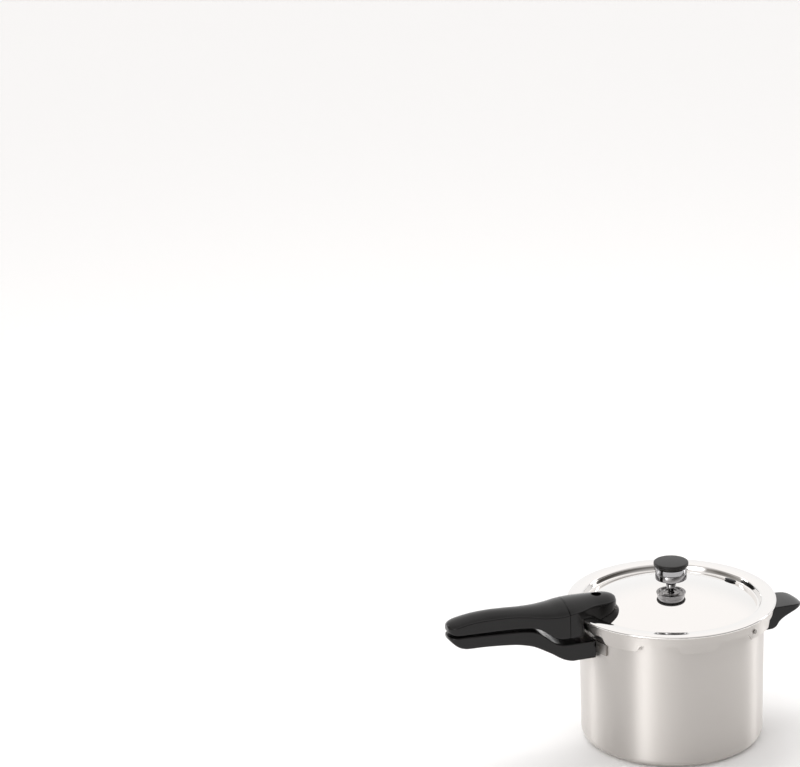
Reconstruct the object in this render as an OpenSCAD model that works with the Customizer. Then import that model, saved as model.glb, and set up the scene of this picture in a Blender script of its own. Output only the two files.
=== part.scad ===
/* [Pot] */
// Outside radius of the pot wall
pot_r = 110; // [106:0.5:114]
// Height of the pot's rim above the base
rim_z = 166.5; // [150:0.5:180]
// Thickness of the pot wall
wall = 2.6; // [2:0.1:4]
// Thickness of the pot base
base_t = 3.6; // [3:0.1:6]
// Outside radius of the bend between base and wall
corner_r = 12; // [8:0.5:16]

/* [Lid] */
// Height of the dome's top above the pot rim
dome_rise = 23; // [16:0.5:28]
// Thickness of the lid metal
lid_t = 2.2; // [1.8:0.1:2.6]
// Depth of the lid's skirt below the pot rim at a locking lug
skirt_drop = 15; // [12:0.5:18]

/* [Handles] */
// Reach of the long handle's tip from the pot's axis
handle_reach = 283; // [260:1:300]
// Reach of the helper handle's tip from the pot's axis
helper_reach = 165; // [150:1:175]
// Half width of the long handle at the lid
handle_half_w = 28; // [24:0.5:30]
// Half width of the long handle's grip
grip_half_w = 15.5; // [13:0.5:18]

/* [Regulator] */
// Outside radius of the regulator's cap
cap_r = 20.7; // [18:0.1:23]
// Outside radius of the regulator's weight at its foot
weight_r = 19; // [17:0.1:20]
// Height of the weight's foot above the lid's top
weight_gap = 9; // [7:0.5:12]

/* [Hidden] */
$fn = 96;
eps = 0.01;
gap = 0.35;                       // clearance between pieces that move past each other
lug_count = 8;
lug_pitch = 360 / lug_count;
lug_phase = 37.5;                 // angle of the first locking lug
lug_half_deg = 10;

bore_r = pot_r - wall;            // inside radius of the pot
flange_r = pot_r + 3.6;           // plain flange around the pot's rim
pot_lug_r = pot_r + 7.6;
flange_t = 3;

dome_z = rim_z + dome_rise;       // top of the lid
dome_base_r = 104;
dome_drop = 23.5;                 // fall of the dome from its top to its base circle
dome_radius = (pow(dome_base_r, 2) + pow(dome_drop, 2)) / (2 * dome_drop);
foot_r = dome_base_r - 2.2;       // where the dome ends in the trough's fillet
trough_fillet = 2;
corner_fillet = 3.5;
lid_edge_r = 124.5;
edge_fillet = 1.9;
crown_z = rim_z + 8.2;            // top of the raised ring over the sealing ring
crown_r = 60;                     // its cross curve
crown_s = 116.5;
skirt_in_r = pot_r + 8.4;
skirt_out_r = pot_r + 10.6;
skirt_z = rim_z - skirt_drop;
skirt_high_z = rim_z - 7;         // skirt's edge between two locking lugs
notch_half = 26.5;                // half width of a high stretch of the skirt
notch_foot_r = 3.5;
notch_top_r = 4;
lid_lug_r = flange_r + 0.6;
lid_lug_top = rim_z - flange_t - gap;
lid_lug_t = 4;

window_s = 96;                    // window and lock pin, distance from the pot's axis
seat_z = dome_z - 19.2;           // flat seat for the lock pin
seat_r = 7.6;
seat_boss_r = 8.8;
seat_t = 5.8;                     // height of the boss around the seat
pin_flange_z = seat_z - 11.9;     // flange on the lock pin, under the tab when the pin is down
pin_flange_t = 2;
plug_s = 92;
plug_deg = 16;
rivet_deg = 300;
rivet_z = rim_z - 5.7;

seam_s = 139;                     // joint between the cover handle's head and grip
nose_s = 72;                      // inner end of the cover handle
nose_r = 19;
handle_top = rim_z + 27;
crown_cyl_r = 40;                 // cross crown of the cover handle
bracket_s0 = 76;                  // inner and outer end of the cover bracket's foot
bracket_s1 = 107.5;
bracket_half = 13;
tongue_z = crown_z + 1.6;
tongue_t = 2;
lid_screw_s = 84;
lid_screw_w = 9;
grip_screw_s = 150;
body_screw_s = 130;
screw_seat_z = rim_z - 36;        // shoulder under the head of a handle screw
helper_screw_s = 130;
helper_top = rim_z - 17;
helper_half_w = 22;
strap_z = rim_z - 34;             // straps that hold the handles to the pot
strap_h = 14;
strap_deg = 18;                   // rivets of a strap, each side of its middle

weight_z = dome_z + weight_gap;   // foot of the regulator's weight
weight_h = 14.2;
cap_z = weight_z + weight_h;
bore_top = weight_z + 8.6;        // roof of the weight's bore, under the seat
pipe_r = 3.5;

black = "#1c1b1b";
metal = "#c9c6c2";

// Points along an arc in a profile, n steps from angle a0 to a1.
function arc(c, r, a0, a1, n = 10) =
    [for (i = [0:n]) let (a = a0 + (a1 - a0) * i / n) [c[0] + r * cos(a), c[1] + r * sin(a)]];
// Smooth step from 0 at a to 1 at b.
function ease(x, a, b) = let (t = min(1, max(0, (x - a) / (b - a)))) t * t * (3 - 2 * t);
// Height of the dome's upper face at radius r, with its thickness taken off.
function dome(r, t = 0) = dome_z - dome_radius + sqrt(pow(dome_radius - t, 2) - r * r);
// A fillet's centre that touches the dome at radius r.
function dome_touch(r, f) = [r * (1 + f / dome_radius), dome(r) + f * sqrt(1 - pow(r / dome_radius, 2))];

fillet_c = dome_touch(foot_r, trough_fillet);
fillet_start = 270 - asin(foot_r / dome_radius);
// A fillet's centre at distance s that touches the crown ring from inside.
function crown_touch(s, f) =
    [s, crown_z - crown_r + sqrt(pow(crown_r - f, 2) - pow(s - crown_s, 2))];
corner_c = crown_touch(pot_r - 0.4, corner_fillet);
edge_c = crown_touch(lid_edge_r - edge_fillet, edge_fillet);
corner_end = 90 + asin((crown_s - corner_c[0]) / (crown_r - corner_fillet));
edge_start = 90 - asin((edge_c[0] - crown_s) / (crown_r - edge_fillet));

// The lid's upper face from the axis to its rolled edge, lowered by t.
function lid_face(t) = concat(
    [for (r = [0:4:foot_r]) [r, dome(r, t)]],
    arc(fillet_c, trough_fillet + t, fillet_start, 345, 8),
    arc(corner_c, corner_fillet - t, 175, corner_end, 8));

// Heights of the long handle's edges at distance s from the pot's axis.
function body_top(s) = rim_z - 19.5 + 19.5 * ease(s, 151, 185) + 3 * ease(s, 185, 250);
function body_bottom(s) = rim_z - 42 + 29 * ease(s, 140, 212) + 1.5 * ease(s, 212, 245);
function cover_bottom(s) = rim_z - 13 + 16 * ease(s, 153, 180) + 2.3 * ease(s, 180, 250);
function cover_top(s) = handle_top - 2.6 * ease(s, 139, 172) + 2.2 * ease(s, 185, 232);
// Half width of the long handle at distance s.
function handle_w(s, w0) = w0 + (grip_half_w - w0) * ease(s, 142, 205);
function cover_w(s) = handle_w(s, handle_half_w)
    - (handle_half_w - nose_r) * (1 - ease(s, nose_s + 20, nose_s + 62));

// Pieces of the long handle are drawn with x as distance from the axis, then turned to -X.
module long_side() rotate([0, 0, 180]) children();
// A prism across the handle from an outline of [distance, height] points.
module across(points, half) rotate([90, 0, 0]) linear_extrude(height = 2 * half, center = true)
    polygon(points);
// A ring or disc about +Z.
module tube(r_out, r_in, z0, h) translate([0, 0, z0]) difference() {
    cylinder(r = r_out, h = h);
    if (r_in > 0) translate([0, 0, -1]) cylinder(r = r_in, h = h + 2);
}
// A sector of a ring, half_deg each side of angle a.
module sector(r_out, r_in, z0, h, a, half_deg) rotate([0, 0, a - half_deg])
    rotate_extrude(angle = 2 * half_deg) translate([r_in, z0]) square([r_out - r_in, h]);

// ---- Pot ----
module pot_body() color(metal) {
    difference() {
        rotate_extrude($fn = 180) polygon(concat(
            [[0, 0]], arc([pot_r - 0.8 - corner_r, corner_r], corner_r, 270, 358, 12),
            [[pot_r, rim_z - 12], [pot_r, rim_z - 5], [pot_r + 1.5, rim_z - flange_t],
             [flange_r, rim_z - flange_t], [flange_r, rim_z], [bore_r, rim_z]],
            arc([pot_r - 0.8 - corner_r, corner_r], corner_r - wall, 358, 285, 10),
            [[pot_r - 16, base_t], [0, base_t]]));
        for (side = [0, 180], a = [-strap_deg, strap_deg]) rotate([0, 0, side + a])
            translate([bore_r - 5, 0, strap_z + strap_h / 2]) rotate([0, 90, 0]) cylinder(r = 2, h = 14);
    }
    for (k = [0:lug_count - 1])
        sector(pot_lug_r, flange_r - 0.4, rim_z - flange_t, flange_t,
            lug_phase + k * lug_pitch, lug_half_deg);
}

// A strap around the pot wall with a tongue that takes a handle's screw at distance s.
module wall_bracket(half_deg, s) difference() {
    union() {
        sector(pot_r + 2, pot_r + 0.02, strap_z, strap_h, 0, half_deg);
        translate([pot_r + 1.2, -8, strap_z + strap_h / 2 - 1.5]) cube([s + 7 - pot_r, 16, 3]);
    }
    for (a = [-strap_deg, strap_deg]) rotate([0, 0, a]) translate([pot_r - 5, 0, strap_z + strap_h / 2])
        rotate([0, 90, 0]) cylinder(r = 2, h = 14);
    translate([s, 0, strap_z]) cylinder(r = 2.2, h = strap_h);
}
module body_handle_bracket() color(metal) long_side() wall_bracket(24, body_screw_s);
module helper_handle_bracket() color(metal) wall_bracket(21, helper_screw_s);
// Slot in a handle around the tongue, and the stepped hole for its screw.
module tongue_slot(s) {
    tube(pot_r + 2.05, 0, rim_z - 60, 80);
    translate([0, -8.05, strap_z + strap_h / 2 - 1.55]) cube([s + 8.3, 16.1, 3.1]);
    translate([s, 0, 0]) {
        cylinder(r = 2.2, h = rim_z - 24);
        cylinder(r = 5, h = screw_seat_z);
    }
}

// Four rivets, two through each strap and the pot wall.
module bracket_rivets() color(metal)
    for (side = [0, 180], a = [-strap_deg, strap_deg]) rotate([0, 0, side + a])
        translate([0, 0, strap_z + strap_h / 2]) rotate([0, 90, 0]) {
            translate([0, 0, bore_r - 1.9]) cylinder(r = 4, h = 1.5);
            translate([0, 0, bore_r - 0.5]) cylinder(r = 1.9, h = wall + 2.6);
            translate([0, 0, pot_r + 2.02]) cylinder(r = 3.2, h = 1.2);
        }

// Tab spot-welded inside the rim. It stops the raised lock pin, and so the lid, from turning.
module lock_bracket() color(metal) rotate([0, 0, 190]) {
    sector(bore_r - 0.12, bore_r - 1.3, rim_z - 12, 9.5, 0, 4.5);
    sector(bore_r - 0.2, window_s + 3.8, rim_z - 4.4, 1.9, -0.5, 2.5);
}

module body_handle_outline(x0) across(concat(
    [for (s = [x0:6:handle_reach - 12]) [s, body_top(s)]],
    arc([handle_reach - 7, body_top(270) - 5], 5, 80, 0, 5),
    arc([handle_reach - 10, body_bottom(255) + 8], 8, 0, -80, 6),
    [for (s = [handle_reach - 24:-6:x0]) [s, body_bottom(s)]]), 60);

module rounded_tip(z0, z1) intersection() {
    translate([0, 0, z0]) cylinder(r = handle_reach, h = z1 - z0, $fn = 180);
    union() {
        translate([-handle_reach, -60, z0]) cube([2 * handle_reach - 15, 120, z1 - z0]);
        translate([handle_reach - grip_half_w, 0, z0]) cylinder(r = grip_half_w, h = z1 - z0);
    }
}

module body_handle() color(black) long_side() difference() {
    intersection() {
        body_handle_outline(pot_r - 2);
        translate([0, 0, rim_z - 60]) linear_extrude(height = 80) polygon(concat(
            [for (s = [pot_r - 2:5:handle_reach + 2]) [s, -handle_w(s, handle_half_w + 1)]],
            [for (s = [handle_reach + 2:-5:pot_r - 2]) [s, handle_w(s, handle_half_w + 1)]]));
        rounded_tip(rim_z - 60, rim_z + 20);
    }
    tongue_slot(body_screw_s);
}

// A pan-headed screw with its head down, at distance s, tip at z1.
module screw_up(s, r, head_r, head_h, z0, z1) translate([s, 0, z0]) difference() {
    union() {
        cylinder(r = head_r, h = head_h);
        cylinder(r = r, h = z1 - z0);
    }
    translate([-head_r, -0.5, -eps]) cube([2 * head_r, 1, head_h / 2]);
}
module washer(s, r_out, r_in, z, t) translate([s, 0, 0]) tube(r_out, r_in, z, t);
module body_handle_screw() color(metal) long_side()
    screw_up(body_screw_s, 2.15, 4, 2.6, screw_seat_z - 3.6, rim_z - 24.2);
module body_handle_washer() color(metal) long_side()
    washer(body_screw_s, 4.6, 2.2, screw_seat_z - 1, 1);

// ---- Helper handle ----
module helper_outline() across(concat(
    [[pot_r - 2, helper_top], [helper_reach - 8, helper_top - 1.5]],
    arc([helper_reach - 5, helper_top - 6.5], 5, 85, -60, 6),
    [for (s = [helper_reach - 6:-4:pot_r + 12])
        [s, helper_top - 8.5 - 19 * pow((helper_reach - 4 - s) / (helper_reach - pot_r - 16), 1.6)]],
    [[pot_r + 8, helper_top - 30], [pot_r - 2, helper_top - 30]]), 60);
module helper_handle() color(black) difference() {
    intersection() {
        helper_outline();
        translate([0, 0, rim_z - 60]) linear_extrude(height = 60) polygon(concat(
            [[pot_r - 4, -helper_half_w - 4], [pot_r + 14, -helper_half_w]],
            arc([helper_reach - 16, -2], 16, -60, 0, 6), arc([helper_reach - 16, 2], 16, 0, 60, 6),
            [[pot_r + 14, helper_half_w], [pot_r - 4, helper_half_w + 4]]));
    }
    tongue_slot(helper_screw_s);
}
module helper_handle_screw() color(metal)
    screw_up(helper_screw_s, 2.15, 4, 2.6, screw_seat_z - 3.6, rim_z - 24.2);
module helper_handle_washer() color(metal) washer(helper_screw_s, 4.6, 2.2, screw_seat_z - 1, 1);

// ---- Lid ----
module sealing_ring() color("#2b2a2a") tube(pot_r + 6.4, pot_r - 0.8, rim_z + gap, 4.9);

// The slanted seat frame of the over-pressure plug, with Z along the dome's normal.
module at_plug() rotate([0, 0, plug_deg]) translate([plug_s, 0, dome(plug_s)])
    rotate([0, asin(plug_s / dome_radius), 0]) children();

// One high stretch of the skirt's edge, between two locking lugs, as a cut through the skirt.
module skirt_notch(a) rotate([0, 0, a]) translate([skirt_in_r - 4, 0, 0]) rotate([90, 0, 90])
    linear_extrude(height = 16) polygon(concat(
        [[-notch_half - 1, skirt_z - 1]],
        arc([-notch_half, skirt_z + notch_foot_r - 0.2], notch_foot_r, 285, 360, 4),
        arc([notch_foot_r + notch_top_r - notch_half, skirt_high_z - notch_top_r], notch_top_r, 180, 90, 4),
        arc([notch_half - notch_foot_r - notch_top_r, skirt_high_z - notch_top_r], notch_top_r, 90, 0, 4),
        arc([notch_half, skirt_z + notch_foot_r - 0.2], notch_foot_r, 180, 255, 4),
        [[notch_half + 1, skirt_z - 1]]));

module lid_shell() color(metal) difference() {
    union() {
        difference() {
            rotate_extrude($fn = 180) polygon(concat(
                lid_face(0), arc([crown_s, crown_z - crown_r], crown_r, corner_end - 1, edge_start + 1, 6),
                arc(edge_c, edge_fillet, edge_start, -50, 8),
                [[skirt_out_r + 1.2, rim_z + 2.5], [skirt_out_r, skirt_z], [skirt_in_r, skirt_z]],
                arc([skirt_in_r - 3, crown_z - 5.2], 3, 0, 90, 4),
                [for (i = [len(lid_face(lid_t)) - 1:-1:0]) lid_face(lid_t)[i]]));
            for (k = [0:lug_count - 1]) skirt_notch(lug_phase + (k + 0.5) * lug_pitch);
        }
        translate([-window_s, 0, seat_z - seat_t]) cylinder(r = seat_boss_r, h = seat_t);
        intersection() {
            translate([-window_s, 0, seat_z - 1]) cylinder(r = seat_boss_r, h = 8);
            lid_envelope();
        }
        for (k = [0:lug_count - 1])
            sector(skirt_in_r + 0.5, lid_lug_r, lid_lug_top - lid_lug_t, lid_lug_t,
                lug_phase + k * lug_pitch, lug_half_deg);
    }
    translate([-window_s, 0, seat_z]) cylinder(r = seat_r, h = 30);
    translate([-window_s, 0, seat_z - 20]) cylinder(r = 4.6, h = 40);
    translate([-window_s, 0, seat_z - lid_t - 10]) cylinder(r = 6.6, h = 10);
    translate([0, 0, dome_z - 20]) cylinder(r = 4, h = 40);
    at_plug() translate([0, 0, -15]) cylinder(r = 6, h = 30);
    rotate([0, 0, rivet_deg]) translate([skirt_in_r - 6, 0, rivet_z])
        rotate([0, 90, 0]) cylinder(r = 2, h = 20);
    for (w = [-lid_screw_w, lid_screw_w])
        translate([-lid_screw_s, w, dome_z - 40]) cylinder(r = 1.7, h = 60);
}

// Everything that the closed lid's outer face takes up, for pieces that sit on it.
module lid_envelope(extra = 0) rotate_extrude($fn = 180) polygon(concat(
    [[0, 0]], lid_face(-extra), [[crown_s - 4, crown_z + extra]],
    [[lid_edge_r + 0.05 + extra, crown_z + extra], [lid_edge_r + 0.05 + extra, 0]]));

module stop_rivet() color(metal) rotate([0, 0, rivet_deg]) translate([0, 0, rivet_z]) rotate([0, 90, 0]) {
    translate([0, 0, lid_lug_r]) cylinder(r = 1.98, h = skirt_out_r - lid_lug_r + 0.9);
    translate([0, 0, skirt_out_r + 0.9]) cylinder(r = 2.6, h = 0.9);
}

module vent_pipe() color(metal) rotate_extrude() polygon([
    [1.1, dome_z - 9], [3.97, dome_z - 9], [3.97, dome_z + 0.02], [6, dome_z + 0.02], [6, dome_z + 2],
    [pipe_r, dome_z + 2.6], [pipe_r, bore_top - 2.6], [1.9, bore_top - 0.4], [1.1, bore_top - 0.4]]);
module vent_pipe_nut() color(metal) translate([0, 0, dome_z - lid_t - 5.2]) difference() {
    cylinder(r = 7.6, h = 5, $fn = 6);
    translate([0, 0, -1]) cylinder(r = 3.98, h = 7);
}

module overpressure_plug() color("#2a2929") at_plug() {
    translate([0, 0, -lid_t - 3.25]) cylinder(r = 9.5, h = 3);
    translate([0, 0, -lid_t - 3]) cylinder(r = 5.98, h = lid_t + 5);
    intersection() {
        translate([0, 0, 0.45]) cylinder(r = 7, h = 3);
        translate([0, 0, -12.4]) sphere(r = 15);
    }
}

// Space of the metal bracket under the cover handle: a foot on the dome and a tongue outward.
module cover_bracket_shape() {
    difference() {
        intersection() {
            lid_envelope(1.6);
            translate([bracket_s0, -bracket_half, rim_z])
                cube([bracket_s1 - bracket_s0, 2 * bracket_half, 40]);
        }
        lid_envelope(0.1);
    }
    translate([bracket_s1 - 0.5, -bracket_half, tongue_z - 1.4]) cube([2, 2 * bracket_half, tongue_t + 1.4]);
    translate([bracket_s1 - 0.5, -8, tongue_z]) cube([grip_screw_s + 8 - bracket_s1, 16, tongue_t]);
}
module cover_handle_bracket() color(metal) long_side() difference() {
    cover_bracket_shape();
    translate([window_s, 0, 0]) cylinder(r = seat_boss_r + 0.15, h = seat_z + 0.25);
    translate([window_s, 0, seat_z - 5]) cylinder(r = seat_r - 0.05, h = 40);
    for (w = [-lid_screw_w, lid_screw_w]) translate([lid_screw_s, w, 0]) cylinder(r = 1.7, h = 300);
    translate([grip_screw_s, 0, 0]) cylinder(r = 2.2, h = 300);
}

// The cover handle before it is split at the seam.
module cover_handle_solid() difference() {
    intersection() {
        across(concat(
            arc([nose_s + 9, handle_top - 9], 9, 180, 100, 6),
            [for (s = [nose_s + 14:6:handle_reach - 18]) [s, cover_top(s)]],
            arc([handle_reach - 15, cover_top(260) - 15], 15, 72, 0, 6),
            [[handle_reach, cover_bottom(270) + 3], [handle_reach - 3, cover_bottom(270)]],
            [for (s = [handle_reach - 8:-6:skirt_out_r]) [s, cover_bottom(s)]],
            [[nose_s, cover_bottom(100)]]), 60);
        translate([0, 0, rim_z - 20]) linear_extrude(height = 80) polygon(concat(
            arc([nose_s + nose_r, 0], nose_r, 95, 265, 16),
            [for (s = [nose_s + 24:5:handle_reach + 2]) [s, -cover_w(s)]],
            [for (s = [handle_reach + 2:-5:nose_s + 24]) [s, cover_w(s)]]));
        rounded_tip(rim_z - 20, rim_z + 60);
        translate([nose_s - 5, 0, handle_top - crown_cyl_r]) rotate([0, 90, 0])
            cylinder(r = crown_cyl_r, h = handle_reach, $fn = 180);
    }
    lid_envelope(0.1);
    cover_bracket_shape();
    translate([window_s, 0, 0]) cylinder(r = seat_boss_r + 0.2, h = seat_z + 0.3);
    translate([window_s, 0, 0]) cylinder(r = seat_r, h = tongue_z + 1);
    translate([window_s, 0, 0]) cylinder(r = 6.1, h = 300);
}
module cover_handle_head() color(black) long_side() difference() {
    intersection() {
        cover_handle_solid();
        cube([2 * (seam_s - 0.2), 200, 600], center = true);
    }
    for (w = [-lid_screw_w, lid_screw_w])
        translate([lid_screw_s, w, 0]) cylinder(r = 1.6, h = handle_top - 6);
}
module cover_handle_grip() color(black) long_side() difference() {
    intersection() {
        cover_handle_solid();
        translate([seam_s + 0.2, -100, 0]) cube([200, 200, 300]);
    }
    translate([grip_screw_s, 0, 0]) {
        cylinder(r = 2.2, h = tongue_z + 8);
        cylinder(r = 5, h = rim_z - 5);
    }
}
module cover_handle_screws() color(metal) long_side() for (w = [-lid_screw_w, lid_screw_w])
    translate([0, w, 0]) screw_up(lid_screw_s, 1.58, 3.4, 2, dome(lid_screw_s, lid_t) - 4.4, handle_top - 7);
module grip_screw() color(metal) long_side()
    screw_up(grip_screw_s, 2.15, 4, 2.6, rim_z - 7.8, tongue_z + 6);

// ---- Lock pin in the cover handle's window ----
module lock_pin_gasket() color("#2b2a2a") translate([-window_s, 0, 0]) difference() {
    union() {
        tube(4.58, 0, seat_z - lid_t - 1.2, lid_t + 2.4);
        tube(6.4, 0, seat_z - lid_t - 1.22, 1.2);
        tube(6.4, 0, seat_z + 0.02, 1.2);
    }
    tube(2.6, 0, seat_z - 10, 20);
}
module lock_pin() color(metal) translate([-window_s, 0, 0]) rotate_extrude() polygon([
    [0, pin_flange_z], [5.4, pin_flange_z], [5.4, pin_flange_z + pin_flange_t],
    [2.3, pin_flange_z + pin_flange_t],
    [2.3, seat_z + 1.7], [4, seat_z + 1.7], [4, seat_z + 6], [3, seat_z + 7], [0, seat_z + 7]]);
module lock_pin_retainer() color(metal) translate([-window_s, 0, 0]) 
    tube(3.6, 2.31, pin_flange_z + pin_flange_t + 0.02, 0.8);

// ---- Pressure regulator ----
module regulator_weight() color(metal) rotate_extrude($fn = 120) polygon([
    [4.6, weight_z + 3], [9.5, weight_z + 3], [9.5, weight_z + 0.8], [11.5, weight_z + 0.8],
    [11.5, weight_z + 2.6], [15.5, weight_z + 2.6], [15.5, weight_z], [weight_r - 0.6, weight_z],
    [weight_r, weight_z + 0.6], [weight_r - 0.3, weight_z + 7.4], [weight_r - 0.8, weight_z + 7.8],
    [weight_r - 0.3, weight_z + 8.2], [weight_r - 0.7, cap_z], [6, cap_z], [6, cap_z + 3], [0, cap_z + 3],
    [0, bore_top + 3], [4.6, bore_top + 3]]);
module regulator_seat() color("#b9a36a") difference() {
    tube(4.58, 0, bore_top, 2.98);
    translate([0, 0, bore_top - 1]) cylinder(r1 = 2.6, r2 = 0.6, h = 3);
}
module regulator_cap() color(black) rotate_extrude($fn = 120) polygon(concat(
    [[0, cap_z + 3.02], [6.02, cap_z + 3.02], [6.02, cap_z + 0.02], [weight_r - 1.4, cap_z + 0.02],
     [weight_r - 1, cap_z + 2]],
    arc([cap_r - 1.8, cap_z + 4.2], 1.8, -80, 0, 6), arc([cap_r - 2, cap_z + 5.2], 2, 0, 80, 6),
    [[cap_r - 8, cap_z + 7.6], [0, cap_z + 7.8]]));

pot_body();
body_handle_bracket();
helper_handle_bracket();
bracket_rivets();
lock_bracket();
body_handle();
body_handle_screw();
body_handle_washer();
helper_handle();
helper_handle_screw();
helper_handle_washer();
sealing_ring();
lid_shell();
stop_rivet();
vent_pipe();
vent_pipe_nut();
overpressure_plug();
cover_handle_head();
cover_handle_grip();
cover_handle_bracket();
cover_handle_screws();
grip_screw();
lock_pin_gasket();
lock_pin();
lock_pin_retainer();
regulator_weight();
regulator_cap();
regulator_seat();
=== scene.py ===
"""A stovetop pressure cooker: drawn aluminium pot and lid, moulded handles and a weight on its vent."""

import logging
import math
from collections.abc import Callable, Sequence
from dataclasses import dataclass
from enum import Enum

import bmesh
import bpy
from mathutils import Matrix, Vector


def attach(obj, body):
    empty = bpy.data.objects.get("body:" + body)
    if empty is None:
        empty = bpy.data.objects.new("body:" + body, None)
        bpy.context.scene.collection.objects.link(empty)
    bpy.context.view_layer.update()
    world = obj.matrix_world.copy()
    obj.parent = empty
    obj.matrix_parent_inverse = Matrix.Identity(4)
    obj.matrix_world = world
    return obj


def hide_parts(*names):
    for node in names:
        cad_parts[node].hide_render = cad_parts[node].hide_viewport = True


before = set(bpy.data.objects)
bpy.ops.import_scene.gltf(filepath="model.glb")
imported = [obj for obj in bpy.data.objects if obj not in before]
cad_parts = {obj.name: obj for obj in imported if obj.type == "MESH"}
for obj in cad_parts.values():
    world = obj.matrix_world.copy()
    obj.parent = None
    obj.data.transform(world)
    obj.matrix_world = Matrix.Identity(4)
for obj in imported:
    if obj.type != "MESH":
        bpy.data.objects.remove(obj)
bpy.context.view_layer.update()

LOG = logging.getLogger("cooker")
MM = 0.001
SECTORS = 8
Point = tuple[float, float]
Point3 = tuple[float, float, float]


class Body(str, Enum):
    """The bodies that move on their own."""

    POT = "pot"
    SEAL = "seal"
    LID = "lid"
    LOCK = "lock"
    REGULATOR = "regulator"


def linear(code: str) -> tuple[float, float, float, float]:
    """Turns an sRGB hex colour into a linear one.

    Args:
        code: Six hex digits after a hash.

    Returns:
        Red, green, blue and alpha.
    """
    parts = [int(code[i : i + 2], 16) / 255 for i in (1, 3, 5)]
    r, g, b = [p / 12.92 if p <= 0.04045 else ((p + 0.055) / 1.055) ** 2.4 for p in parts]
    return (r, g, b, 1.0)


def arc(centre: Point, radius: float, start: float, end: float, steps: int) -> list[Point]:
    """Points along an arc of a profile.

    Args:
        centre: Its centre, in millimetres.
        radius: Its radius, in millimetres.
        start: First angle, in degrees.
        end: Last angle, in degrees.
        steps: Number of chords.

    Returns:
        The points, both ends with them.
    """
    angles = [math.radians(start + (end - start) * i / steps) for i in range(steps + 1)]
    return [(centre[0] + radius * math.cos(a), centre[1] + radius * math.sin(a)) for a in angles]


def smooth(x: float, a: float, b: float) -> float:
    """A smooth step from 0 at a to 1 at b."""
    t = min(1.0, max(0.0, (x - a) / (b - a)))
    return t * t * (3 - 2 * t)


@dataclass(frozen=True)
class Curve:
    """A smooth line through measured points.

    Attributes:
        points: (distance, value) pairs in rising distance, in millimetres.
    """

    points: tuple[Point, ...]

    def at(self, x: float) -> float:
        """Reads the line at a distance.

        Args:
            x: Distance from the cooker's axis, in millimetres.

        Returns:
            The value there. The ends carry on level.
        """
        pts = self.points
        if x <= pts[0][0]:
            return pts[0][1]
        if x >= pts[-1][0]:
            return pts[-1][1]
        i = max(k for k in range(len(pts) - 1) if pts[k][0] <= x)
        slopes = [self.slope(k) for k in (i, i + 1)]
        (x0, y0), (x1, y1) = pts[i], pts[i + 1]
        h = x1 - x0
        t = (x - x0) / h
        return (
            y0 * (1 + 2 * t) * (1 - t) ** 2
            + y1 * t * t * (3 - 2 * t)
            + h * slopes[0] * t * (1 - t) ** 2
            - h * slopes[1] * t * t * (1 - t)
        )

    def slope(self, k: int) -> float:
        """The slope at point k, level where the line turns back."""
        pts = self.points
        if k in (0, len(pts) - 1):
            j = min(k, len(pts) - 2)
            return (pts[j + 1][1] - pts[j][1]) / (pts[j + 1][0] - pts[j][0])
        before = (pts[k][1] - pts[k - 1][1]) / (pts[k][0] - pts[k - 1][0])
        after = (pts[k + 1][1] - pts[k][1]) / (pts[k + 1][0] - pts[k][0])
        return 0.0 if before * after <= 0 else 2 * before * after / (before + after)


def add_node(
    tree: bpy.types.NodeTree,
    kind: str,
    settings: dict[str, object] | None = None,
    inputs: dict[str | int, object] | None = None,
) -> bpy.types.Node:
    """Adds a node with its settings, values and links.

    Args:
        tree: The node tree.
        kind: The node's type name.
        settings: Properties to set on the node.
        inputs: Values, or sockets to link from, by input name or number.

    Returns:
        The node.
    """
    node = tree.nodes.new(kind)
    for key, value in (settings or {}).items():
        setattr(node, key, value)
    for key, value in (inputs or {}).items():
        if isinstance(value, bpy.types.NodeSocket):
            tree.links.new(value, node.inputs[key])
        else:
            node.inputs[key].default_value = value
    return node


@dataclass(frozen=True)
class Grain:
    """A fine surface texture, as bump.

    Attributes:
        size: Size of one mark along X, Y and Z, in millimetres.
        depth: Its depth, in millimetres.
        roughness: How far it varies the roughness, either side.
    """

    size: tuple[float, float, float]
    depth: float
    roughness: float = 0.0


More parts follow.
